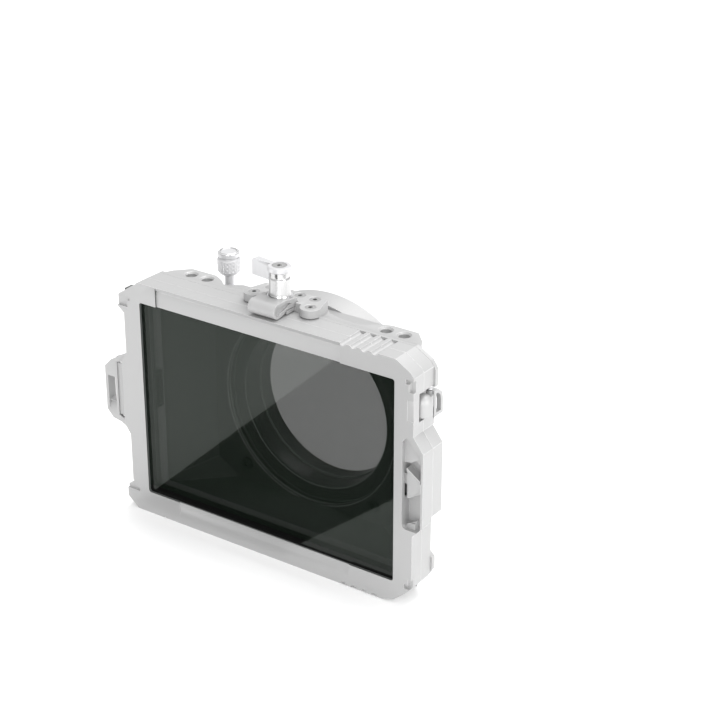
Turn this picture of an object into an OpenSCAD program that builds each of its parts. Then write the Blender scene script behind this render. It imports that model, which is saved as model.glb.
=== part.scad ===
// Matte box (box-type lens hood) that carries two stacked 4 x 5.65 inch filter frames.
// X is to the right seen from the front, Y points back along the lens axis, Z is up.
// The origin is the centre of the shoulder where the adapter ring meets the lens.
// Depths inside the modules are counted backwards from the front face of the front frame.

/* [Filter] */
// Width of the glass filter
filter_w = 143.5; // [143:0.1:144]
// Height of the glass filter
filter_h = 101.6; // [101:0.1:102]
// Thickness of the glass filter
filter_t = 4; // [3.5:0.1:4]

/* [Filter frames] */
// Width of the window in each frame
window_w = 139.5; // [138:0.1:140]
// Height of the window in each frame
window_h = 97.6; // [96:0.1:98]
// Half width of a frame over its straight sides
frame_side = 79.4; // [79:0.1:80]
// Height of a frame's top edge over the lens axis
frame_top = 58.4; // [58:0.1:59]
// Depth of a frame's bottom edge under the lens axis
frame_foot = 60; // [59.5:0.1:60.5]
// Thickness of one frame
frame_t = 7.5; // [7.4:0.1:7.5]
// Spacing from one frame to the next
frame_pitch = 7.6; // [7.6:0.1:7.8]
// Thickness of a frame's front skin
frame_skin = 1.4; // [1.3:0.1:1.5]
// Thickness of the slot that a filter tray slides in
slot_t = 5.2; // [5.1:0.1:5.3]
// Reach of the finger bumps on a frame's sides
bump_reach = 5.1; // [4:0.1:5.2]
// Width of the tray's pull handle beyond the frame's left bump
handle_reach = 11.2; // [9:0.1:12]

/* [Rear housing] */
// Depth from the front face to the shoulder on the lens
hood_depth = 52; // [52:1:56]
// Thickness of the housing's front flange
flange_t = 2.2; // [2:0.1:2.6]
// Depth of the front of the back plate
plate_y = 34; // [33:0.5:34]
// Thickness of the back plate
plate_t = 3; // [2.5:0.1:3]
// Radius of the bore in the back plate
plate_bore_r = 46.6; // [46:0.1:46.6]
// Thickness of the housing's rear wall
rear_wall_t = 3; // [2.5:0.1:3.5]
// Height of the top deck over the lens axis
deck_top = 57.2; // [57:0.1:57.8]
// Radius of the tapped accessory holes
tapped_r = 2.6; // [2.5:0.05:2.6]

/* [Lens clamp] */
// Inner radius of the split lens collar
collar_r = 47.5; // [47.5:0.1:47.6]
// Wall thickness of the split lens collar
collar_wall = 5.2; // [5:0.1:5.4]
// Radius of the male thread that screws into the lens
lens_thread_r = 41; // [41:0.5:42]
// Length of that thread
lens_thread_l = 3.5; // [3:0.1:3.5]
// Radius of the clear opening in the adapter ring
ring_clear_r = 38.6; // [38:0.1:39]
// Distance of the clamp screw from the lens axis
stem_x = 52.6; // [52.5:0.1:52.8]
// Height of the knob's lower face
knob_z = 52.6; // [52:0.1:53]

/* [Top lever and flag hook] */
// Width of the hook's nose
hook_w = 14; // [13:0.5:14.5]
// Top of the screw plate
clamp_top = 62.5; // [62:0.1:63]
// Radius of the lever's polished post
post_r = 4.8; // [4.6:0.1:5]
// Length of the lever's wing from the post's axis
wing_l = 15.7; // [14:0.1:16]
// Height of the top of the lever
lever_top = 78.9; // [78:0.1:80]

/* [Side latch] */
// Radius of the latch's thumb barrel
barrel_r = 4.2; // [4:0.1:4.3]
// Height of the foot of the thumb barrel
barrel_z = 31; // [30.5:0.1:31.5]

/* [Hidden] */
$fn = 64;
eps = 0.01;
slot_y = frame_skin;
tray_t = 4.8;
tray_y = slot_y + (slot_t - tray_t) / 2;
tray_side = 53.2;
tray_end = 73;
slot_side = tray_side + 0.3;
slot_end = tray_end + 0.4;
recess_x = 75.7;
flange_y = 2 * frame_pitch;
shell_y = flange_y + flange_t;
wall_y = plate_y + plate_t;
shell_end = wall_y + rear_wall_t;
handle_x = frame_side + 4.2 + handle_reach;
lug_inner_x = 46;
collar_out_r = collar_r + collar_wall;
ring_out_r = collar_r - 0.08;
lever_y = 14;
latch_pivot = [75.2, 18.4];
barrel_at = [77.6, 9.9];
clamp_y = 44;
stem_r = 2.3;
knob_r = 5.4;
shell_top = 52.4;
ear_holes = [-58.5, -49.2, 49.2, 58.5];
ear_hole_y = 24;
plate_w = 55.2;
plate_h = 48.4;
plate_screw_at = [36.4, 38];
base_row_y = 23.3;
boss_y = 15.4;
base_screws = [[4, base_row_y], [12.1, base_row_y], [15.4, boss_y]];
dowel_at = [62, 56];
bar_screw_x = [-40, -18, 18, 40];
bar_screw_y = 20;
shell_color = [0.8, 0.8, 0.8];
black_color = [0.12, 0.12, 0.13];
steel_color = [0.75, 0.75, 0.77];

// ---- helpers ----

// Puts children in a frame whose depth starts at the front face
module hood() translate([0, -hood_depth, 0]) children();

// Extrudes an outline drawn as (x, z) from depth y0 back to depth y1
module slab(y0, y1) hood() translate([0, y1, 0]) rotate([90, 0, 0]) linear_extrude(y1 - y0) children();

// Extrudes an outline drawn as (x, y) from height z0 to height z1
module deck(z0, z1) hood() translate([0, 0, z0]) linear_extrude(z1 - z0) children();

// Extrudes an outline drawn as (y, z) across x, from x0 to x1
module rib(x0, x1) hood() translate([x0, 0, 0]) rotate([90, 0, 90]) linear_extrude(x1 - x0) children();

// Box given by two corners
module block(a, b) hood() translate(a) cube(b - a);

// Cylinder on the lens axis, or beside it, from depth y0 to y1
module disc(y0, y1, r1, r2 = undef, x = 0, z = 0)
    hood() translate([x, y0, z]) rotate([-90, 0, 0])
        cylinder(h = y1 - y0, r1 = r1, r2 = is_undef(r2) ? r1 : r2, $fn = 128);

// Upright cylinder
module post(x, y, z0, z1, r1, r2 = undef)
    hood() translate([x, y, z0]) cylinder(h = z1 - z0, r1 = r1, r2 = is_undef(r2) ? r1 : r2);

// Upright cylinder for the top half, or its mirror image for the bottom half when s is -1
module stud(s, x, y, z0, z1, r1, r2 = undef) {
    end = is_undef(r2) ? r1 : r2;
    post(x, y, s > 0 ? z0 : -z1, s > 0 ? z1 : -z0, s > 0 ? r1 : end, s > 0 ? end : r1);
}

// Round stretch of an outline about c, from angle a0 to angle a1
function arc(c, r, a0, a1, n) = [for (i = [0:n]) let (a = a0 + (a1 - a0) * i / n) c + r * [cos(a), sin(a)]];

// Rectangle of half size w by h with its corners cut by a along x and b along z
function octagon(w, h, a, b) =
    let (half = [[w - a, h], [w, h - b], [w, -h + b], [w - a, -h]]) concat(half, flipped(half));

// ---- filter frames ----

// Outlines run clockwise from the top right corner. Each side is a list of (x, z) points.
right_bump = [[frame_side, 24.6], [frame_side + bump_reach, 17.8],
              [frame_side + bump_reach, -17.6], [frame_side, -23.4]];
second_bump = [[frame_side, 24.6], [frame_side + bump_reach, 17.8],
               [frame_side + bump_reach, -15.3], [frame_side, -20.5]];
left_bump = [[-frame_side, -21], [-frame_side - 4.2, -15.2], [-frame_side - 4.2, 14], [-frame_side, 20.8]];
top_corner = [[70.1, frame_top], [77.7, 53.9], [frame_side, 51.6]];
foot_corner = [[frame_side, -49], [76.8, -52.4], [70.3, -57.8], [63, -frame_foot]];
// raised guards round the corners of the front frame, at the left
top_guard = [[-frame_side, 41.4], [-83, 44.2], [-83, 49.8], [-70.1, frame_top]];
foot_guard = [[-59.5, -frame_foot], [-60.2, 0.6 - frame_foot], [-61.2, -frame_foot],
              [-76.8, -frame_foot], [-83, -54.9], [-83, -48.8], [-frame_side, -46]];
// right side of the housing's flange, narrower in the middle
flange_side = concat(top_corner, [[80.2, 50], [80.2, 42], [77.6, 39.4], [77.6, -38.4],
                                  [80.2, -41], [80.2, -46.8], [76.8, -52.4], [70.3, -57.8], [63, -frame_foot]]);

function flipped(points) = [for (i = [len(points) - 1:-1:0]) [-points[i][0], points[i][1]]];

module front_outline() polygon(concat(top_corner, right_bump, foot_corner, foot_guard, left_bump, top_guard));
module second_outline()
    polygon(concat(top_corner, second_bump, foot_corner, flipped(foot_corner), left_bump, flipped(top_corner)));

module window() {
    r = 1.2;
    w = window_w / 2 - r;
    h = window_h / 2 - r;
    polygon(concat(arc([w, h], r, 0, 90, 5), arc([-w, h], r, 90, 180, 5),
                   arc([-w, -h], r, 180, 270, 5), arc([w, -h], r, 270, 360, 5)));
}

// Four finger grooves across the top edge and four across the bottom edge, at the right
module grip_grooves(y0, y1)
    for (i = [0:3]) {
        disc(y0, y1, 1.9, x = 43.4 + 5.45 * i, z = frame_top + 0.7);
        disc(y0, y1, 1.9, x = 43.4 + 5.45 * i, z = -frame_foot - 0.7);
    }

// Slot open to the left that a filter tray slides in
module tray_slot(y0) block([-100, y0 + slot_y, -slot_side], [slot_end, y0 + slot_y + slot_t, slot_side]);

// Recess in the right side that the side latch drops into
module latch_recess(y0, y1) block([recess_x, y0, barrel_z - 1.2], [90, y1, 43]);

module dowel_holes(y0)
    for (x = [-dowel_at[0], dowel_at[0]], z = [-dowel_at[1] - 1, dowel_at[1]])
        disc(y0 + frame_t - 4.5, y0 + frame_t + 1, 1.3, x = x, z = z);

module front_frame() color(shell_color) difference() {
    slab(0, frame_t) front_outline();
    slab(-1, frame_t + 1) window();
    tray_slot(0);
    grip_grooves(-1, frame_t + 1);
    dowel_holes(0);
    latch_recess(4.3, frame_t + 1);
    // finger pocket over the tray lock
    slab(-1, 2.4) pocket_outline();
    slab(-1, 6.1) difference() {
        pocket_outline();
        polygon([[73, 10.2], [77, 11], [79.6, 12.6], [82.2, 10.2], [84, 9], [84, 24], [73, 24]]);
        polygon([[74.9, -22], [79.3, -22], [79.3, -17.4], [74.9, -19.4]]);
    }
    slab(-1, 3.4) translate([73.9, -18.4]) square([9.5, 26]);
    // opening that the lock's tongue reaches through
    block([slot_end - 1, 2.4, -6.4], [75, 5.9, 5.4]);
    // hollow relief under the top edge and a flatter one over the bottom edge
    rib(-60, 42) polygon([[-1, 58.2], [0, 58.2], [1.3, 56.1], [0.8, 53.8],
                          [0.8, window_h / 2 - 1], [-1, window_h / 2 - 1]]);
    rib(-51, 46) polygon([[-1, 1 - window_h / 2], [0.5, 1 - window_h / 2], [0.5, -52.6], [0, -55.4], [-1, -55.4]]);
    // shallow step beside the side latch
    slab(-1, 0.25) polygon([[76.2, 41], [90, 41], [90, 31.5], [76.2, 31.5]]);
    // chamfer of the left bump
    deck(-18, 17) polygon([[-90, -1], [-82.5, -1], [-82.5, 0], [-83.6, 1], [-90, 1]]);
    // corner pockets that the next accessory hooks into
    for (s = [-1, 1]) {
        slab(-1, s < 0 ? 0.9 : 1.8) polygon([[s * 75.4, 50.4], [s * 90, 50.4], [s * 90, 44.8],
                                             [s * 77, 44.8], [s * 77, 48.3], [s * 75.4, 48.3]]);
        slab(-1, s < 0 ? 0.9 : 1.8) polygon([[s * 75.4, -50.4], [s * 90, -50.4], [s * 90, -45.4],
                                             [s * 77.6, -45.4], [s * 77.6, -48.3], [s * 75.4, -48.3]]);
    }
}

module pocket_outline() {
    r = 2.5;
    for (z = [-18.4, 15], x = [76.4, 80.9]) translate([x, z]) circle(r);
    translate([73.9, -18.4]) square([9.5, 33.4]);
    translate([76.4, -20.9]) square([4.5, 38.4]);
    polygon([[73.9, 15], [73.9, 21], [75.4, 23], [77.2, 23], [83.4, 15]]);
}

module second_frame() color(shell_color) difference() {
    y0 = frame_pitch;
    slab(y0, y0 + frame_t) second_outline();
    slab(0, 20) window();
    tray_slot(y0);
    grip_grooves(y0 - 1, y0 + frame_t + 1);
    dowel_holes(y0);
    for (x = [-dowel_at[0], dowel_at[0]], z = [-dowel_at[1] - 1, dowel_at[1]])
        disc(y0 - 1, y0 + 1, 1.25, x = x, z = z);
    latch_recess(y0 - 1, y0 + frame_t + 1);
}

// Leaf spring that holds a filter tray in the second frame
module second_frame_clip() color(black_color) {
    y0 = frame_pitch + slot_y;
    x0 = 71.9;
    difference() {
        block([-x0 - 1.2, y0 + 0.2, -8.6], [-x0 + 1.6, y0 + slot_t, 9.4]);
        block([-x0, y0 - 1, -7.6], [-x0 + 3, y0 + slot_t - 1.2, 8.4]);
        block([-x0 - 0.6, y0 + 1.1, -2], [-x0 + 3, y0 + 3.4, 6]);
    }
    block([-x0 - 0.8, y0 + 0.4, -1.2], [-x0 + 1.2, y0 + 3, 0.8]);
}

module dowels(y0)
    for (x = [-dowel_at[0], dowel_at[0]], z = [-dowel_at[1] - 1, dowel_at[1]]) {
        disc(y0 - 3, y0 + 1, 1.24, x = x, z = z);
        disc(y0 - 3.6, y0 - 3, 0.8, 1.24, x = x, z = z);
    }

module second_frame_dowels() color(steel_color) dowels(frame_pitch);

module housing_dowels() color(steel_color) dowels(flange_y);

// ---- filter tray ----

module filter_tray() color(black_color) difference() {
    block([-frame_side, tray_y, -tray_side], [tray_end, tray_y + tray_t, tray_side]);
    block([-filter_w / 2 - 0.15, tray_y - 1, -filter_h / 2 - 0.15],
          [filter_w / 2 + 0.15, tray_y + filter_t + 0.1, filter_h / 2 + 0.15]);
    block([-window_w / 2 - 0.3, tray_y - 1, -window_h / 2 - 0.3],
          [window_w / 2 + 0.3, tray_y + 9, window_h / 2 + 0.3]);
    // notch that the tray lock drops into
    block([tray_end - 1.2, tray_y - 1, -8], [tray_end + 1, tray_y + 9, 7]);
    for (z = [-14, 14]) hood() translate([-frame_side - 1, tray_y + tray_t / 2, z]) rotate([0, 90, 0])
        cylinder(h = 6.4, r = 0.8);
}

module handle_outline()
    polygon([[-frame_side, 20.3], [-90.8, 14.3], [-handle_x, 10.2], [-handle_x, -12.4],
             [-91.3, -16.2], [-86.5, -17], [-frame_side, -20.4]]);

module tray_handle() color(shell_color) difference() {
    slab(tray_y, tray_y + tray_t) handle_outline();
    // pull slot with a ramp below it
    block([-93.2, 0, -7], [-88.6, 10, 5.6]);
    rib(-93.2, -88.6) polygon([[0, -7.1], [tray_y + 2.6, -7.1], [0.6, -13.6], [0, -13.6]]);
    // step between the handle and the frame's bump
    slab(0, tray_y + 0.6) polygon([[-87.2, 13.8], [-80, 17], [-80, -17], [-87.2, -13.6]]);
    for (z = [-14, 14]) hood() translate([-100, tray_y + tray_t / 2, z]) rotate([0, 90, 0]) {
        cylinder(h = 30, r = 0.95);
        cylinder(h = 100 - 84.4, r = 1.9);
    }
}

// Two screws that hold the handle on the tray's end
module handle_screws() color(steel_color)
    for (z = [-14, 14]) hood() translate([-84.4, tray_y + tray_t / 2, z]) rotate([0, 90, 0]) difference() {
        union() {
            translate([0, 0, -1.2]) cylinder(h = 1.2, r = 1.7);
            cylinder(h = 10, r = 0.75);
        }
        translate([0, 0, -2]) cylinder(h = 1.5, r = 0.7, $fn = 6);
    }

module filter_glass() color([0.13, 0.16, 0.14])
    block([-filter_w / 2, tray_y + 0.1, -filter_h / 2], [filter_w / 2, tray_y + 0.1 + filter_t - 0.2, filter_h / 2]);

// Thin black band round the edge of the glass, behind the window's lip
module filter_gasket() color(black_color) difference() {
    y1 = tray_y + filter_t + 0.1;
    block([-filter_w / 2, y1 - 0.2, -filter_h / 2], [filter_w / 2, y1, filter_h / 2]);
    block([-window_w / 2 - 0.3, 0, -window_h / 2 - 0.3], [window_w / 2 + 0.3, 10, window_h / 2 + 0.3]);
}

// Wedge-nosed slider in the finger pocket that lets the tray go
module tray_lock() color(shell_color) {
    slab(2.2, 5.9) polygon([[75.2, 8.2], [75.2, -6.8], [82, -2.6], [82, 3.6]]);
    // raised lip along the upper edge
    slab(1.6, 2.2) polygon([[75.2, 8.2], [75.2, 6.6], [82, 2], [82, 3.6]]);
    // tongue that reaches into the notch of the tray
    block([72.4, 2.6, 0], [75.3, 5.7, 5]);
}

// ---- rear housing ----

// Plan of the bars at the top and bottom, each with two ears that reach back
ear_side = [[71, shell_y], [68.5, 22.9], [62.3, 29.4], [48.6, 29.4], [46.2, 28.4], [42.4, 26.2],
            [38.6, 22.9], [34, 22], [26.2, 22.5], [19, 24.5], [17, 26.4]];
module ear_plan() polygon(concat(ear_side, flipped(ear_side)));

module rear_housing() color(shell_color) difference() {
    union() {
        slab(flange_y, shell_y) polygon(concat(flange_side, flipped(flange_side)));
        hull() {
            slab(flange_y + 0.5, shell_y) polygon(octagon(77, shell_top, 6.8, 4.2));
            slab(shell_end - 1, shell_end) polygon(octagon(58, 50.6, 17, 10.5));
        }
        // flat seats for the two bars
        deck(-shell_top, shell_top) ear_plan();
        for (z = [22.6, 42.2]) post(latch_pivot[0], latch_pivot[1], z, z + 3, 2.2);
        for (z = [22.6, 42.2]) block([71, latch_pivot[1] - 2.2, z], [latch_pivot[0], latch_pivot[1] + 2.2, z + 3]);
    }
    // inside, with the pocket for the back plate
    hull() {
        slab(flange_y - 1, flange_y) polygon(octagon(74.1, 51.9, 1.5, 0.95));
        slab(plate_y, wall_y) polygon(octagon(plate_w, plate_h, 12, 7.6));
    }
    disc(wall_y - 1, shell_end + 1, 48.2);
    for (x = [-1, 1], z = [-1, 1]) disc(wall_y - 1, shell_end + 1, 1.6, x = x * plate_screw_at[0], z = z * plate_screw_at[1]);
    for (x = [-dowel_at[0], dowel_at[0]], z = [-dowel_at[1] - 1, dowel_at[1]])
        disc(flange_y - 1, flange_y + 1, 1.25, x = x, z = z);
    // countersunk holes for the bar screws
    for (s = [-1, 1], x = bar_screw_x) {
        stud(s, x, bar_screw_y, 50, 51.3, 2.1);
        stud(s, x, bar_screw_y, 51.3 - eps, 52.2, 2.1, 1.3);
        stud(s, x, bar_screw_y, 52, 53, 1.3);
    }
    // opening for the latch arm, and the bores of its pivot pin
    block([72.6, flange_y - 1, 25.6], [90, 24, 42.2]);
    post(latch_pivot[0], latch_pivot[1], 20, 50, 1.2);
    // groove for the light seal
    slab(flange_y - 1, flange_y + 0.6) seal_band();
}

// Bar along the top, with tapped holes for accessories and for the clamp base
module top_bar() color(shell_color) difference() {
    deck(shell_top, deck_top) ear_plan();
    for (x = ear_holes) {
        post(x, ear_hole_y, shell_top - 1, deck_top + 1, tapped_r);
        post(x, ear_hole_y, deck_top - 0.8, deck_top + eps, tapped_r, tapped_r + 0.8);
    }
    for (x = [-12.1, -4, 4, 12.1]) post(x, base_row_y, deck_top - 4, deck_top + 1, 1.25);
    for (x = bar_screw_x) post(x, bar_screw_y, shell_top - 1, 56.4, 1.25);
}

// Bar along the bottom
module foot_bar() color(shell_color) difference() {
    deck(-frame_foot, -shell_top) ear_plan();
    for (x = ear_holes) post(x, ear_hole_y, -frame_foot - 1, -shell_top - 1.8, tapped_r);
    for (x = bar_screw_x) post(x, bar_screw_y, -56.4, 1 - shell_top, 1.25);
}

// Countersunk screws that hold the bars, put in from inside the housing
module bar_screws() color(black_color)
    for (s = [-1, 1], x = bar_screw_x) difference() {
        union() {
            stud(s, x, bar_screw_y, 51.35, 52.2, 2, 1.2);
            stud(s, x, bar_screw_y, 52.2, 56.2, 1.2);
        }
        hood() translate([x, bar_screw_y, s > 0 ? 50.9 : -51.9]) cylinder(h = 1, r = 0.8, $fn = 6);
    }

module seal_band() difference() {
    polygon(octagon(76.2, 54.4, 2.4, 2));
    polygon(octagon(75, 53.2, 1.2, 1));
}

// Foam cord that keeps stray light out between the housing and the second frame
module light_seal() color(black_color) difference() {
    slab(flange_y, flange_y + 0.6) seal_band();
    block([72.4, flange_y - 1, 25.3], [90, 24, 42.5]);
}

// Black light trap that lines the housing
module hood_liner() color(black_color) difference() {
    intersection() {
        hull() {
            slab(flange_y - 1, flange_y) polygon(octagon(74, 51.8, 1.5, 0.95));
            slab(plate_y, wall_y) polygon(octagon(plate_w - 0.1, plate_h - 0.1, 12, 7.6));
        }
        slab(flange_y + 0.9, plate_y) square([160, 120], center = true);
    }
    hull() {
        slab(flange_y - 2, flange_y - 1) polygon(octagon(74, 51, 1.6, 1));
        slab(plate_y, plate_y + 1) polygon(octagon(52.9, 46.7, 12.48, 7.8));
    }
}

module back_plate() color(black_color) difference() {
    slab(plate_y, wall_y) polygon(octagon(plate_w - 0.1, plate_h - 0.1, 12, 7.6));
    disc(plate_y - 1, wall_y + 1, plate_bore_r);
    disc(plate_y - eps, plate_y + 0.9, plate_bore_r + 0.9, plate_bore_r);
    for (x = [-1, 1], z = [-1, 1]) disc(plate_y - 1, wall_y + 1, 1.6, x = x * plate_screw_at[0], z = z * plate_screw_at[1]);
}

// Round-head screws from the inside, through plate and rear wall into the collar
module back_plate_screws() color(black_color)
    for (x = [-1, 1], z = [-1, 1]) hood() translate([x * plate_screw_at[0], plate_y, z * plate_screw_at[1]])
        rotate([-90, 0, 0]) difference() {
            union() {
                cylinder(h = 10.5, r = 1.45);
                translate([0, 0, -1.2]) cylinder(h = 1.2, r = 2.9);
                translate([0, 0, -1.9]) cylinder(h = 0.7, r1 = 2.1, r2 = 2.9);
            }
            translate([0, 0, -2]) cylinder(h = 1.4, r = 1.2, $fn = 6);
        }

// ---- lens clamp ----

module lens_collar() color(shell_color) difference() {
    union() {
        disc(shell_end, hood_depth - 0.3, collar_out_r);
        for (x = [-1, 1], z = [-1, 1])
            disc(shell_end, shell_end + 6, 4.2, x = x * plate_screw_at[0], z = z * plate_screw_at[1]);
        block([-58.4, shell_end + 0.4, -3], [-lug_inner_x, clamp_y + 4.5, 24]);
    }
    disc(shell_end - 1, hood_depth + 1, collar_r);
    disc(shell_end - 1, shell_end + 1, collar_r + 1, collar_r - 1);
    // the split and the bores of the clamp screw
    block([-70, shell_end - 1, 10], [-40, hood_depth + 1, 12]);
    post(-stem_x, clamp_y, 11, 30, stem_r + 0.08);
    post(-stem_x, clamp_y, -10, 11, 1.98);
    disc(clamp_y - 6, clamp_y + 6, 3.4, x = -stem_x, z = 3.5);
    for (x = [-1, 1], z = [-1, 1]) disc(shell_end - 1, shell_end + 4.6, 1.5, x = x * plate_screw_at[0], z = z * plate_screw_at[1]);
}

// Cross nut in the lower lug of the collar
module barrel_nut() color(steel_color) difference() {
    disc(clamp_y - 3.4, clamp_y + 4.2, 3.35, x = -stem_x, z = 3.5);
    post(-stem_x, clamp_y, -5, 12, 1.95);
}

module clamp_stem() color(steel_color) {
    post(-stem_x, clamp_y, -2, 12, 1.9);
    post(-stem_x, clamp_y, 12, 25.2, stem_r);
    post(-stem_x, clamp_y, 25.2, 27.6, 3.5);
    post(-stem_x, clamp_y, 27.6, knob_z, stem_r);
}

module stem_washer() color(steel_color) difference() {
    post(-stem_x, clamp_y, 24.1, 25.1, 3.7);
    post(-stem_x, clamp_y, 23, 26, stem_r + 0.08);
}

module clamp_knob() color([0.7, 0.7, 0.7]) difference() {
    union() {
        post(-stem_x, clamp_y, knob_z, knob_z + 1.6, knob_r - 1.1, knob_r);
        post(-stem_x, clamp_y, knob_z + 1.6, knob_z + 7.2, knob_r);
        post(-stem_x, clamp_y, knob_z + 7.2, knob_z + 7.9, knob_r, knob_r - 0.6);
        post(-stem_x, clamp_y, knob_z + 7.9, knob_z + 8.5, knob_r - 0.9);
    }
    // slim cuts for the grip
    for (i = [0:23]) hood() translate([-stem_x, clamp_y, 0]) rotate([0, 0, 15 * i])
        translate([knob_r + 0.15, 0, knob_z + 1.7]) cylinder(h = 5.4, r = 0.4, $fn = 12);
    post(-stem_x, clamp_y, knob_z + 6.5, knob_z + 9, 3.6);
}

module knob_cap() color(steel_color) difference() {
    union() {
        post(-stem_x, clamp_y, knob_z + 6.5, knob_z + 8.5, 3.57);
        post(-stem_x, clamp_y, knob_z + 8.5, knob_z + 10.5, knob_r - 0.3);
        post(-stem_x, clamp_y, knob_z + 10.5, knob_z + 11.1, knob_r - 0.3, knob_r - 0.9);
    }
    post(-stem_x, clamp_y, knob_z + 10.7, knob_z + 12, 3.8);
}

// Adapter ring: slides in the collar and screws into the lens's filter thread
module adapter_ring() color([0.2, 0.2, 0.2]) hood() rotate([-90, 0, 0]) rotate_extrude($fn = 192) {
    polygon([[40.2, wall_y + 1.2], [ring_out_r - 0.6, wall_y + 1.2], [ring_out_r, wall_y + 1.8],
             [ring_out_r, 43], [ring_out_r - 1.3, 43], [ring_out_r - 1.3, 45.4], [ring_out_r, 45.4],
             [ring_out_r, hood_depth], [lens_thread_r, hood_depth],
             [lens_thread_r, hood_depth + lens_thread_l - 0.4],
             [lens_thread_r - 0.4, hood_depth + lens_thread_l], [ring_clear_r, hood_depth + lens_thread_l],
             [ring_clear_r, hood_depth - 4], [ring_clear_r + 0.8, hood_depth - 4],
             [ring_clear_r + 0.8, wall_y + 2.6]]);
}

module ring_seal() color(black_color) hood() rotate([-90, 0, 0]) rotate_extrude($fn = 128)
    translate([ring_out_r - 0.67, 44.2]) circle(0.62, $fn = 24);

// ---- top clamp ----

module base_plan() {
    polygon([[-17, 26], [17, 26], [20.1, 15.4], [15.4, 15.3], [-15.4, 15.3], [-20.1, 15.4]]);
    for (m = [-1, 1]) translate([m * 15.4, 15.4]) circle(4.7);
}

module clamp_base() color(shell_color) difference() {
    union() {
        intersection() {
            deck(deck_top, clamp_top) base_plan();
            union() {
                block([-30, shell_y, 50], [30, 30, 70]);
                block([-30, flange_y + 0.1, frame_top], [30, 30, 70]);
                block([-30, 0, frame_top + 0.5], [30, 30, 70]);
            }
        }
        block([-hook_w / 2, 9.5, frame_top + 0.5], [hook_w / 2, 18, 60.5]);
    }
    // channel for the hook's arm
    block([-hook_w / 2 - 0.3, 5, 60.5], [hook_w / 2 + 0.3, 17.7, 70]);
    post(0, lever_y, 55, 62, 2.55);
    for (s = base_screws, m = [-1, 1]) {
        post(m * s[0], s[1], 50, 70, 1.6);
        post(m * s[0], s[1], clamp_top - 1.6, clamp_top + eps, 1.6, 2.7);
        post(m * s[0], s[1], clamp_top, clamp_top + 1, 2.7);
    }
}

// Countersunk socket screws, two rows in the plate and one in each boss
module clamp_base_screws() color(steel_color)
    for (s = base_screws, m = [-1, 1]) {
        boss = s[1] == boss_y;
        difference() {
            union() {
                post(m * s[0], s[1], boss ? frame_top + 0.8 : deck_top - 3.6, clamp_top - 1.6, boss ? 1.5 : 1.2);
                post(m * s[0], s[1], clamp_top - 1.6, clamp_top - 0.1, 1.5, 2.6);
            }
            hood() translate([m * s[0], s[1], clamp_top - 1.2]) cylinder(h = 2, r = 1.05, $fn = 6);
        }
    }

// Side view of the hook: arm with a round nose
module hook_side()
    polygon(concat([[9.5, 65.6], [17.2, 64.3], [17.2, 60.9], [9.3, 60.9], [7.4, 59.6]],
                   arc([3.4, 62.3], 3.4, -75, -285, 28)));

module flag_hook() color(shell_color) difference() {
    rib(-hook_w / 2, hook_w / 2) hook_side();
    // recess in each end of the nose
    for (x = [[-hook_w / 2 - 1, -hook_w / 2 + 1.2], [hook_w / 2 - 1.2, hook_w / 2 + 1]]) rib(x[0], x[1]) {
        translate([3.4, 62.3]) circle(2.2);
        polygon([[4.2, 64.1], [9.4, 64.2], [13, 63.3], [8, 61.4], [4.8, 60.9]]);
    }
    post(0, lever_y, 55, 70, 2.8);
    post(0, lever_y, 64.3, 70, 6);
    post(0, lever_y, 55, 62.6, 3.9);
}

// Coil spring that lifts the hook when the lever is let go
module hook_spring() color(steel_color)
    for (i = [0:2]) hood() translate([0, lever_y, 60.8 + 0.62 * i]) rotate_extrude() translate([3.25, 0]) circle(0.25, $fn = 16);

module lever_washer() color(steel_color) difference() {
    post(0, lever_y, 64.3, 65, 5.8);
    post(0, lever_y, 64, 66, 2.58);
}

module lever_post() color(steel_color) {
    post(0, lever_y, frame_top + 0.5, 65.05, 2.5);
    post(0, lever_y, 65.05, 66.2, post_r + 0.4, post_r);
    post(0, lever_y, 66.2, 73.2, post_r);
    post(0, lever_y, 73.2, 73.7, post_r, post_r - 0.5);
    post(0, lever_y, 73.7, 76.2, post_r - 0.5);
}

// Thumb wing and hub on top of the post
module lever_wing() color(steel_color) difference() {
    union() {
        post(0, lever_y, 76.2, 76.8, post_r - 0.5, post_r + 0.5);
        post(0, lever_y, 76.8, lever_top - 0.4, post_r + 0.5);
        post(0, lever_y, lever_top - 0.4, lever_top, post_r + 0.5, post_r + 0.1);
        // the wing stands on edge and reaches down beside the post
        difference() {
            hood() translate([0, lever_y, 0]) rotate([0, 0, -7.6]) translate([0, 1.5, 0]) rotate([90, 0, 0])
                linear_extrude(3) polygon(concat([[-3.3, lever_top], [-3.3, 70.8], [-wing_l, 70.8]],
                                                 arc([2 - wing_l, lever_top - 2], 2, 180, 90, 6)));
            post(0, lever_y, 70, 76.2, post_r + 0.25);
        }
    }
    post(0, lever_y, lever_top - 1.5, lever_top + 1, 3.4);
}

module lever_screw() color(steel_color) difference() {
    post(0, lever_y, lever_top - 1.5, lever_top - 0.1, 3.3);
    hood() translate([0, lever_y, lever_top - 1]) cylinder(h = 2, r = 1.2, $fn = 6);
}

// ---- side latch ----

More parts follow.
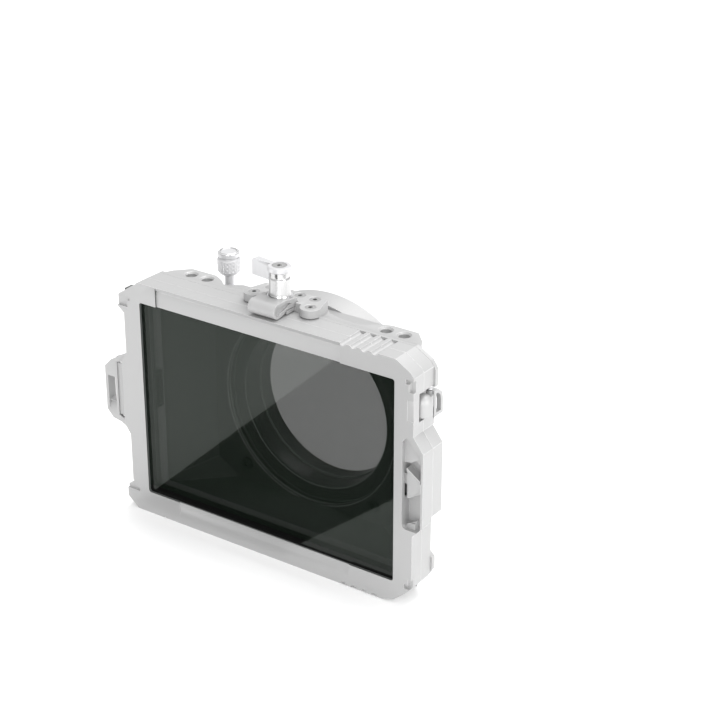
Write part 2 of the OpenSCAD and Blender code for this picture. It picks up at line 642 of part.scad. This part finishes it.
// Thumb barrel, arm and pull loop in one piece, rocking on an upright pin
module side_latch() color(shell_color) difference() {
    union() {
        post(barrel_at[0], barrel_at[1], barrel_z, 36.2, barrel_r);
        hood() translate([barrel_at[0], barrel_at[1], 36.2]) intersection() {
            sphere(r = barrel_r);
            cylinder(h = 10, r = 10);
        }
        deck(31.5, 37.5) polygon([[76.1, 11], [79.2, 11], [78.6, 16], [77.4, 19],
                              [73.4, 19], [73.4, 16.4], [76.1, 15.4]]);
        post(latch_pivot[0], latch_pivot[1], 25.9, 38.6, 2.2);
        // pull loop
        rib(76.2, 78.4) difference() {
            polygon([[17.4, 38.8], [20.6, 38.8], [23.6, 36.4], [24.4, 33.2], [24.4, 26.4], [17.4, 26.4]]);
            polygon([[19, 37.2], [20.2, 37.2], [22.1, 35.6], [22.7, 33], [22.7, 28], [19, 28]]);
        }
    }
    post(latch_pivot[0], latch_pivot[1], 20, 50, 1.27);
    // flat that clears the recess in the frames
    block([70, 4, 26], [76.1, 15.3, 45]);
}

module latch_pin() color(steel_color) post(latch_pivot[0], latch_pivot[1], 22.6, 45.2, 1.19);

// Torsion spring on the pin between the latch and the upper ear
module latch_spring() color(steel_color)
    for (i = [0:4]) hood() translate([latch_pivot[0], latch_pivot[1], 39.2 + 0.6 * i])
        rotate_extrude() translate([1.75, 0]) circle(0.25, $fn = 16);

front_frame();
second_frame();
second_frame_clip();
second_frame_dowels();
filter_tray();
tray_handle();
handle_screws();
filter_glass();
filter_gasket();
tray_lock();
rear_housing();
top_bar();
foot_bar();
bar_screws();
housing_dowels();
light_seal();
hood_liner();
back_plate();
back_plate_screws();
clamp_base();
clamp_base_screws();
flag_hook();
hook_spring();
lever_washer();
lever_post();
lever_wing();
lever_screw();
side_latch();
latch_pin();
latch_spring();
lens_collar();
barrel_nut();
clamp_stem();
clamp_knob();
knob_cap();
stem_washer();
adapter_ring();
ring_seal();
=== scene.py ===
import math
import bmesh
import bpy
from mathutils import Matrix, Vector


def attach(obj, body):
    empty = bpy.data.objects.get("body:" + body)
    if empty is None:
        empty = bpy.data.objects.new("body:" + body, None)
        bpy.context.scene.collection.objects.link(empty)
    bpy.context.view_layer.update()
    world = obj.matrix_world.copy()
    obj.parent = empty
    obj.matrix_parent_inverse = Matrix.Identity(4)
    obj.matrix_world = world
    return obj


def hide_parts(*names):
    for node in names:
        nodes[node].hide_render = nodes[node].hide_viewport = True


# A matte box lens hood with stacked filter frames. Metres throughout, sizes in the dictionaries are in mm.

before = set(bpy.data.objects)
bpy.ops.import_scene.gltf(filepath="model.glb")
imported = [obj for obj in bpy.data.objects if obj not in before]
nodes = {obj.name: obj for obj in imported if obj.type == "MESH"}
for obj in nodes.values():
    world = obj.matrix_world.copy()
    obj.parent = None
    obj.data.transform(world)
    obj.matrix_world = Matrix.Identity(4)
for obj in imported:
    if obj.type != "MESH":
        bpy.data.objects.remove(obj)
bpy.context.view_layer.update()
scene = bpy.context.scene
mm = 0.001
hoodDepth = 52  # from the front face back to the origin


def place(x, depth, z):  # a point from its depth behind the front face
    return Vector((x, depth - hoodDepth, z)) * mm


# ---- nodes written as Python ----

class Num:  # a value socket that takes Python's operators
    def __init__(self, tree, socket):
        self.tree, self.socket = tree, socket

    def op(self, operation, *others):
        made = self.tree.nodes.new("ShaderNodeMath")
        made.operation = operation
        for i, value in enumerate((self,) + others):
            feed(self.tree, made.inputs[i], value)
        return Num(self.tree, made.outputs[0])

    def __add__(self, other): return self.op("ADD", other)
    def __radd__(self, other): return self.op("ADD", other)
    def __sub__(self, other): return self.op("SUBTRACT", other)
    def __rsub__(self, other): return wrap(self.tree, other).op("SUBTRACT", self)
    def __mul__(self, other): return self.op("MULTIPLY", other)
    def __rmul__(self, other): return self.op("MULTIPLY", other)
    def __truediv__(self, other): return self.op("DIVIDE", other)


def wrap(tree, value):  # a plain number as a Num
    made = tree.nodes.new("ShaderNodeMath")
    made.operation = "ADD"
    made.inputs[0].default_value, made.inputs[1].default_value = value, 0
    return Num(tree, made.outputs[0])


def feed(tree, socket, value):
    if isinstance(value, Num):
        tree.links.new(value.socket, socket)
    elif isinstance(value, bpy.types.NodeSocket):
        tree.links.new(value, socket)
    elif value is not None:
        socket.default_value = value


class Tree:  # a node tree with one method for every kind of node
    def __init__(self, tree):
        self.tree = tree

    def node(self, kind, settings=None, **values):
        made = self.tree.nodes.new(kind)
        for key, value in (settings or {}).items():
            setattr(made, key, value)
        for key, value in values.items():
            feed(self.tree, self.socket(made.inputs, key), value)
        return made

    def socket(self, sockets, key):  # by identifier first, then by name with spaces left out
        for s in sockets:
            if s.identifier == key:
                return s
        return next(s for s in sockets if s.enabled and s.name.replace(" ", "") == key)

    def num(self, made, key=None):
        return Num(self.tree, self.socket(made.outputs, key) if key else made.outputs[0])


class Finish(Tree):  # a material with one Principled shader
    def __init__(self, name, **constants):
        self.material = bpy.data.materials.new(name)
        self.material.use_nodes = True
        super().__init__(self.material.node_tree)
        self.shader = next(n for n in self.tree.nodes if n.type == "BSDF_PRINCIPLED")
        self.place = self.tree.nodes.new("ShaderNodeTexCoord").outputs["Object"]
        for key, value in constants.items():
            self.set(key, value)

    def set(self, key, value):
        if isinstance(value, tuple) and len(value) == 3:
            value = (*value, 1)
        feed(self.tree, self.socket(self.shader.inputs, key), value)

    def noise(self, scale, detail=2.0):
        return self.num(self.node("ShaderNodeTexNoise", Vector=self.place, Scale=scale, Detail=detail))

    def blend(self, factor, first, second):
        first, second = [(*c, 1) if isinstance(c, tuple) and len(c) == 3 else c for c in (first, second)]
        return self.node("ShaderNodeMix", {"data_type": "RGBA"},
                         Factor_Float=factor, A_Color=first, B_Color=second).outputs[2]

    def bump(self, height, strength, distance):
        made = self.node("ShaderNodeBump", Height=height, Strength=strength, Distance=distance * mm)
        self.set("Normal", made.outputs[0])

    def rings(self, step, axis, centre):  # lathe marks round an axis, step is one radian of the wave in mm
        middle = self.node("ShaderNodeMapping", Vector=self.place, Location=tuple(-c for c in centre))
        wavesPerUnit = 20  # radians that the wave texture counts to one unit of length
        made = self.node("ShaderNodeTexWave", {"wave_type": "RINGS", "rings_direction": axis},
                         Vector=middle.outputs[0], Scale=1 / (step * mm) / wavesPerUnit,
                         Distortion=0.6, Detail=2.0)
        return self.num(made, "Fac")


class Shape(Tree):  # a geometry tree with named inputs, grown on the vertices of a seed mesh
    def __init__(self, name, **inputs):
        super().__init__(bpy.data.node_groups.new(name, "GeometryNodeTree"))
        face = self.tree.interface
        face.new_socket("Geometry", in_out="INPUT", socket_type="NodeSocketGeometry")
        for key, value in inputs.items():
            kind = "NodeSocketInt" if isinstance(value, int) else "NodeSocketFloat"
            face.new_socket(key, in_out="INPUT", socket_type=kind).default_value = value
        face.new_socket("Material", in_out="INPUT", socket_type="NodeSocketMaterial")
        face.new_socket("Geometry", in_out="OUTPUT", socket_type="NodeSocketGeometry")
        self.given = self.tree.nodes.new("NodeGroupInput")
        self.result = self.tree.nodes.new("NodeGroupOutput")

    def input(self, key):
        return Num(self.tree, self.given.outputs[key])

    def at(self, shape):  # a copy of the shape on every seed vertex, as one painted mesh
        given = self.given.outputs
        spread = self.node("GeometryNodeInstanceOnPoints", Points=given["Geometry"], Instance=shape)
        real = self.node("GeometryNodeRealizeInstances", Geometry=spread.outputs[0])
        painted = self.node("GeometryNodeSetMaterial", Geometry=real.outputs[0], Material=given["Material"])
        self.tree.links.new(painted.outputs[0], self.result.inputs[0])
        return self

    def cylinder(self, radius, depth, low, vertices, **more):  # upright, its foot at height low
        made = self.node("GeometryNodeMeshCylinder", Vertices=vertices, Radius=radius, Depth=depth, **more)
        up = self.node("ShaderNodeCombineXYZ", Z=depth * 0.5 + low)
        return self.node("GeometryNodeTransform", Geometry=made.outputs["Mesh"],
                         Translation=up.outputs[0]).outputs[0]

    def move(self, shape, offset):
        return self.node("GeometryNodeSetPosition", Geometry=shape, Offset=offset).outputs[0]

    def where(self):
        spot = self.node("GeometryNodeInputPosition")
        parts = self.node("ShaderNodeSeparateXYZ", Vector=spot.outputs[0])
        return [Num(self.tree, out) for out in parts.outputs]


# ---- camera, floor and light ----

studio = {
    "camera": (463.6, -639.4, 390.5), "azimuth": 35.0, "elevation": 25.2, "lens": 94.8,
    "floorZ": -60.0, "floorSize": 12000, "paper": (0.93, 0.93, 0.93), "sky": 0.86,
    # corners of the card as (x, depth)
    "card": [(-81, -6), (5, -6), (18.6, -72.7), (56, -262), (130, -600), (-130, -600), (-104, -262)],
    "cardLift": 0.3,
    # name, place in metres, size in metres, power in watts
    "lights": [("keyLight", (0.8, -1.6, 0.7), 1.2, 17),
               ("rightLight", (1.9, -0.2, 0.9), 1.2, 21),
               ("backLight", (0.1, 0.7, 2.0), 1.4, 38)],
}


def shown(name, data):
    thing = bpy.data.objects.new(name, data)
    scene.collection.objects.link(thing)
    return thing


def aim(thing, direction):
    thing.rotation_mode = "QUATERNION"
    thing.rotation_quaternion = direction.to_track_quat("-Z", "Y")


def dimmed(tint, share):
    return tuple(c * share for c in tint)


def flatSheet(name, corners, finish):  # one flat face of the stage
    mesh = bpy.data.meshes.new(name)
    mesh.from_pydata(corners, [], [tuple(range(len(corners)))])
    mesh.materials.append(finish.material)
    return shown(name, mesh)


def buildCamera():
    data = bpy.data.cameras.new("camera")
    data.lens, data.sensor_width = studio["lens"], 36
    data.clip_start, data.clip_end = 0.01, 50
    camera = shown("camera", data)
    camera.location = Vector(studio["camera"]) * mm
    azimuth, elevation = math.radians(studio["azimuth"]), math.radians(studio["elevation"])
    away = Vector((math.sin(azimuth) * math.cos(elevation), -math.cos(azimuth) * math.cos(elevation),
                   math.sin(elevation)))
    aim(camera, -away)
    scene.camera = camera


def buildFloor():
    side, low = studio["floorSize"] / 2 * mm, studio["floorZ"] * mm
    paper = Finish("pale paper", Roughness=0.95, SpecularIORLevel=0.1)
    paper.set("BaseColor", paper.blend(paper.noise(30, 3), studio["paper"], dimmed(studio["paper"], 0.985)))
    corners = [(-side, -side, low), (side, -side, low), (side, side, low), (-side, side, low)]
    flatSheet("floor", corners, paper)


def buildCard():  # black, seen only in reflections: it lays the dark streak across the glass
    velvet = Finish("black velvet", Roughness=1.0, SpecularIORLevel=0.0)
    velvet.set("BaseColor", velvet.blend(velvet.noise(40), (0.002, 0.002, 0.002), (0.004, 0.004, 0.004)))
    height = studio["floorZ"] + studio["cardLift"]
    card = flatSheet("card", [place(x, depth, height) for x, depth in studio["card"]], velvet)
    card.visible_camera = card.visible_diffuse = card.visible_shadow = card.visible_transmission = False


def buildLights():
    world = bpy.data.worlds.new("studio")
    scene.world = world
    world.use_nodes = True
    background = next(n for n in world.node_tree.nodes if n.type == "BACKGROUND")
    background.inputs["Color"].default_value = (1, 1, 1, 1)
    background.inputs["Strength"].default_value = studio["sky"]
    for name, at, size, power in studio["lights"]:
        data = bpy.data.lights.new(name, "AREA")
        data.size, data.energy = size, power
        lamp = shown(name, data)
        lamp.location = at
        aim(lamp, -Vector(at))
    scene.view_settings.view_transform = "Standard"


buildCamera()
buildFloor()
buildCard()
buildLights()
print("studio ready")

# ---- finishes ----


def satinMetal(name, tint, rough, grain=0.06, metal=0.35):
    made = Finish(name, Metallic=metal)
    cloudy = made.noise(18, 3)
    fine = made.noise(2600, 2)
    made.set("BaseColor", made.blend(cloudy, dimmed(tint, 0.965), tint))
    made.set("Roughness", rough - 0.04 + 0.06 * cloudy + 0.05 * fine)
    made.bump(fine, grain, 0.05)
    return made.material


def mattBlack(name, tint, rough, grain=0.25, scale=1500):
    made = Finish(name, SpecularIORLevel=0.35)
    cloudy, fine = made.noise(25, 3), made.noise(scale, 3)
    made.set("BaseColor", made.blend(cloudy, dimmed(tint, 0.86), tint))
    made.set("Roughness", rough - 0.06 + 0.12 * fine)
    made.bump(fine, grain, 0.06)
    return made.material


def turnedMetal(name, tint, rough, step, axis, centre, metal=1.0, grain=0.12):
    made = Finish(name, Metallic=metal)
    marks = made.rings(step, axis, centre)
    cloudy = made.noise(60, 2)
    made.set("BaseColor", made.blend(cloudy, dimmed(tint, 0.93), tint))
    made.set("Roughness", rough + 0.08 * marks)
    made.bump(marks, grain, 0.01)
    return made.material


glass = {"bandTop": -45.6, "cover": 0.71, "tint": (0.005, 0.008, 0.006), "deepTint": (0.004, 0.006, 0.004),
         "bandTint": (0.004, 0.004, 0.004), "reflection": (0.90, 1.0, 0.91)}


def coatedGlass():  # cover is how much the glass hides, and the band along its lower edge hides all
    made = Finish("coated filter glass", Roughness=0.04, IOR=1.45, SpecularIORLevel=0.40,
                  SpecularTint=glass["reflection"])
    height = made.num(made.node("ShaderNodeSeparateXYZ", Vector=made.place), "Z")
    band = height.op("LESS_THAN", glass["bandTop"] * mm)
    tinted = made.blend(made.noise(9, 1), glass["tint"], glass["deepTint"])
    made.set("BaseColor", made.blend(band, tinted, glass["bandTint"]))
    made.set("Alpha", glass["cover"] + (1 - glass["cover"]) * band)
    return made.material


leverAxis = tuple(place(0, 14, 0))
stemAxis = tuple(place(-52.6, 44, 0))
looks = {
    "shell": satinMetal("satin shell", (0.41, 0.41, 0.41), 0.46),
    # a paler copy of the shell for its bevelled edges: a painted highlight
    "shellEdge": satinMetal("satin shell edge", (0.80, 0.80, 0.80), 0.3, metal=0.4),
    "trap": mattBlack("light trap black", (0.085, 0.091, 0.087), 0.55),
    # a pale copy of the black for the edges of the liner, back plate and adapter ring: a painted highlight
    "trapEdge": mattBlack("light trap edge", (0.62, 0.66, 0.63), 0.35),
    "plate": mattBlack("back plate black", (0.062, 0.064, 0.063), 0.5),
    "foam": mattBlack("closed foam", (0.03, 0.03, 0.03), 0.9, 0.6, 900),
    "band": mattBlack("black edge band", (0.006, 0.006, 0.006), 0.4, 0.05),
    "blackSteel": mattBlack("blackened steel", (0.02, 0.02, 0.02), 0.35, 0.1, 900),
    "glass": coatedGlass(),
    "polished": turnedMetal("polished post", (0.58, 0.58, 0.58), 0.16, 0.5, "Z", leverAxis),
    "steel": turnedMetal("bright steel", (0.74, 0.74, 0.75), 0.28, 0.5, "Z", (0, 0, 0)),
    "knob": turnedMetal("knob metal", (0.60, 0.60, 0.61), 0.34, 0.4, "Z", stemAxis, 0.45),
    "ring": turnedMetal("black anodised ring", (0.060, 0.062, 0.061), 0.3, 0.35, "Y", (0, 0, 0), 0.0, 0.2),
}
print("finishes ready:", len(looks))

# ---- making pieces ----


def settle(name, mesh, body, node=None):  # a finished mesh on its body, in place of a node
    piece = shown(name, mesh)
    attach(piece, body)
    if node:
        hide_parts(node)
    return piece


def smooth(mesh, angle):
    mesh.polygons.foreach_set("use_smooth", [True] * len(mesh.polygons))
    mesh.set_sharp_from_angle(angle=math.radians(angle))


def flatten(piece):  # the evaluated piece as a plain mesh
    graph = bpy.context.evaluated_depsgraph_get()
    return bpy.data.meshes.new_from_object(piece.evaluated_get(graph), depsgraph=graph)


def meshArea(mesh):  # over the triangles that are drawn
    mesh.calc_loop_triangles()
    return sum(t.area for t in mesh.loop_triangles)


def copyOf(node, merge):  # the node's mesh, its triangles merged into flat faces where asked
    work = bmesh.new()
    work.from_mesh(nodes[node].data)
    bmesh.ops.remove_doubles(work, verts=work.verts, dist=3e-6)
    if merge:
        bmesh.ops.dissolve_limit(work, angle_limit=math.radians(0.4), verts=work.verts, edges=work.edges)
    mesh = bpy.data.meshes.new(node + "Copy")
    work.to_mesh(mesh)
    work.free()
    return mesh


edges = {"steps": 2, "limit": 34}  # segments of an edge, and the corner in degrees it starts from


def bevelled(node, width, finishes, merge):
    seed = shown(node + "Seed", copyOf(node, merge))
    for f in finishes:
        seed.data.materials.append(looks[f])
    bevel = seed.modifiers.new("edges", "BEVEL")
    bevel.width, bevel.segments = width * mm, edges["steps"]
    bevel.limit_method, bevel.angle_limit = "ANGLE", math.radians(edges["limit"])
    bevel.use_clamp_overlap, bevel.harden_normals = True, True
    # the bevel faces take the second finish, which on the shells and the black parts is a painted highlight
    bevel.material = 1
    bevel.miter_outer = "MITER_ARC"
    smooth(seed.data, edges["limit"])
    mesh = flatten(seed)
    bpy.data.objects.remove(seed)
    return mesh


fairArea = (0.93, 1.03)  # how far a copy's area may stray from its node's


def dressed(name, node, body, slot, finish, width, edgeFinishAndPaintedHighlight):
    # a copy of the CAD node with softly broken edges, merged first where that keeps its area
    finishes = (finish, edgeFinishAndPaintedHighlight or finish)
    for merge in (True, False):
        mesh = bevelled(node, width, finishes, merge)
        ratio = meshArea(mesh) / meshArea(nodes[node].data)
        if fairArea[0] < ratio < fairArea[1]:
            break
    mesh.name = name
    print("dressed", name, len(mesh.polygons), "merged" if merge else "unmerged", round(ratio, 3))
    return settle(name, mesh, body, node)


shells = [
    # name, node, body, slot, finish, edge width, edge finish (for the shells and the black parts a paler
    # painted highlight)
    ("frontFrame", "front_frame", "front_frame", "shell", "shell", 0.3, "shellEdge"),
    ("secondFrame", "second_frame", "second_frame", "shell", "shell", 0.3, "shellEdge"),
    ("rearHousing", "rear_housing", "housing", "shell", "shell", 0.3, "shellEdge"),
    ("topBar", "top_bar", "housing", "shell", "shell", 0.3, "shellEdge"),
    ("footBar", "foot_bar", "housing", "shell", "shell", 0.3, "shellEdge"),
    ("trayHandle", "tray_handle", "tray", "shell", "shell", 0.3, "shellEdge"),
    ("trayLock", "tray_lock", "tray_lock", "shell", "shell", 0.25, "shellEdge"),
    ("clampBase", "clamp_base", "housing", "shell", "shell", 0.25, "shellEdge"),
    ("flagHook", "flag_hook", "hook", "shell", "shell", 0.25, "shellEdge"),
    ("sideLatch", "side_latch", "latch", "shell", "shell", 0.2, "shellEdge"),
    ("lensCollar", "lens_collar", "housing", "shell", "shell", 0.35, "shellEdge"),
    ("leverWing", "lever_wing", "lever", "knob", "knob", 0.3, "polished"),
    ("leverPost", "lever_post", "lever", "polished", "polished", 0.15, None),
    ("trayClip", "second_frame_clip", "second_frame", "black_steel", "blackSteel", 0.1, None),
    ("hoodLiner", "hood_liner", "housing", "trap", "trap", 0.3, "trapEdge"),
    ("backPlate", "back_plate", "housing", "plate", "plate", 0.2, "trapEdge"),
    ("filterTray", "filter_tray", "tray", "trap", "trap", 0.2, None),
    ("filterGlass", "filter_glass", "tray", "glass", "glass", 0.25, None),
    ("adapterRing", "adapter_ring", "lens_ring", "ring", "ring", 0.15, "trapEdge"),
    ("clampStem", "clamp_stem", "clamp_screw", "knob", "knob", 0.15, None),
    ("clampKnob", "clamp_knob", "clamp_screw", "knob", "knob", 0.12, None),
    ("knobCap", "knob_cap", "clamp_screw", "knob", "knob", 0.2, "polished"),
]
pieces = {row[0]: dressed(*row) for row in shells}
filterGlass = pieces["filterGlass"]
filterGlass.visible_shadow = filterGlass.visible_diffuse = False  # light reaches the hood


lightPath = {"halfWidth": 73.6, "halfHeight": 53.8}


def blacken(piece, reach):  # light trap on the edges round the light path, from a depth on
    mesh = piece.data
    mesh.materials.append(looks["trap"])
    for face in mesh.polygons:
        at = face.center / mm
        inside = abs(at.x) < lightPath["halfWidth"] and abs(at.z) < lightPath["halfHeight"]
        if inside and at.y + hoodDepth > reach and abs(face.normal.y) < 0.5:  # not front or rear faces
            face.material_index = len(mesh.materials) - 1


blacken(pieces["frontFrame"], 0.35)
blacken(pieces["secondFrame"], 0)
print("window edges blackened")

# ---- repeated details, grown with geometry nodes ----


def grow(name, shape, body, finish, spots, settings, node=None):
    # spots are (x, depth, z) in mm, settings are the tree's inputs
    seedMesh = bpy.data.meshes.new(name)
    seedMesh.from_pydata([place(*spot) for spot in spots], [], [])
    seed = shown(name + "Seed", seedMesh)
    grower = seed.modifiers.new("grow", "NODES")
    grower.node_group = shape.tree
    sockets = shape.tree.interface.items_tree
    keys = {item.name: item.identifier for item in sockets if item.in_out == "INPUT"}
    for key, value in settings.items():
        grower[keys[key]] = value
    grower[keys["Material"]] = looks[finish]
    mesh = flatten(seed)
    bpy.data.objects.remove(seed)
    smooth(mesh, 40)
    settle(name, mesh, body, node)
    print("grown", name, len(mesh.polygons))


def coilTree(name, turn=(0, 0, 0), corners=12):  # a wire or ridge wound along a helix
    shape = Shape(name, Turns=3.0, Radius=3 * mm, Height=2 * mm, Wire=0.25 * mm, Steps=48)
    radius = shape.input("Radius")
    line = shape.node("GeometryNodeCurveSpiral", Resolution=shape.input("Steps"),
                      Rotations=shape.input("Turns"), StartRadius=radius, EndRadius=radius,
                      Height=shape.input("Height"))
    section = shape.node("GeometryNodeCurvePrimitiveCircle", Resolution=corners, Radius=shape.input("Wire"))
    wound = shape.node("GeometryNodeCurveToMesh", Curve=line.outputs[0], ProfileCurve=section.outputs[0],
                       FillCaps=True)
    turned = shape.node("GeometryNodeTransform", Geometry=wound.outputs[0], Rotation=turn)
    return shape.at(turned.outputs[0])


def knurlTree():  # diamond pattern pressed into a cylinder
    shape = Shape("diamond knurl", Radius=5.5 * mm, Depth=5 * mm, Count=20.0, Cut=0.25 * mm)
    body = shape.cylinder(shape.input("Radius"), shape.input("Depth"), 0.0, 160, SideSegments=26)
    x, y, z = shape.where()
    around = y.op("ARCTAN2", x) * shape.input("Count") * (1 / math.pi)
    along = z / shape.input("Radius") * shape.input("Count") * (1 / math.pi)
    ridge = (around + along).op("PINGPONG", 1.0).op("MINIMUM", (around - along).op("PINGPONG", 1.0))
    inward = (ridge - 1.0) * shape.input("Cut") / shape.input("Radius")
    offset = shape.node("ShaderNodeCombineXYZ", X=x * inward, Y=y * inward)
    return shape.at(shape.move(body, offset.outputs[0]))


springs = coilTree("wire spring")
tapped = coilTree("tapped ridge", corners=3)
lensRidge = coilTree("lens thread ridge", (math.radians(-90), 0, 0), 3)
holeSpots = [(x, 24, z) for x in (-58.5, -49.2, 49.2, 58.5) for z in (52.9, -59.2)]
grow("hookSpring", springs, "housing", "steel", [(0, 14, 60.8)],
     {"Turns": 2.5, "Radius": 3.25 * mm, "Height": 1.24 * mm, "Wire": 0.25 * mm}, "hook_spring")
grow("latchSpring", springs, "housing", "steel", [(75.2, 18.4, 39.2)],
     {"Turns": 4.0, "Radius": 1.75 * mm, "Height": 2.4 * mm, "Wire": 0.25 * mm}, "latch_spring")
grow("tappedThreads", tapped, "housing", "shell", holeSpots,
     {"Turns": 2.4, "Radius": 2.62 * mm, "Height": 3.0 * mm, "Wire": 0.32 * mm})
grow("lensThread", lensRidge, "lens_ring", "ring", [(0, hoodDepth + 0.35, 0)],
     {"Turns": 3.5, "Radius": 40.95 * mm, "Height": 2.62 * mm, "Wire": 0.3 * mm, "Steps": 96})
grow("knobKnurl", knurlTree(), "clamp_screw", "knob", [(-52.6, 44, 54.4)],
     {"Radius": 5.52 * mm, "Depth": 5.2 * mm, "Count": 18.0, "Cut": 0.28 * mm})

# nodes whose shape stays, and the finish each one gets
plain = {"second_frame_dowels": "steel", "handle_screws": "polished", "filter_gasket": "band",
         "housing_dowels": "steel", "light_seal": "foam", "back_plate_screws": "blackSteel",
         "clamp_base_screws": "polished", "lever_washer": "steel", "lever_screw": "polished",
         "latch_pin": "steel", "barrel_nut": "steel", "stem_washer": "steel", "ring_seal": "foam",
         "bar_screws": "blackSteel"}
for node, finish in plain.items():
    nodes[node].data.materials.clear()
    nodes[node].data.materials.append(looks[finish])
print("pieces ready")
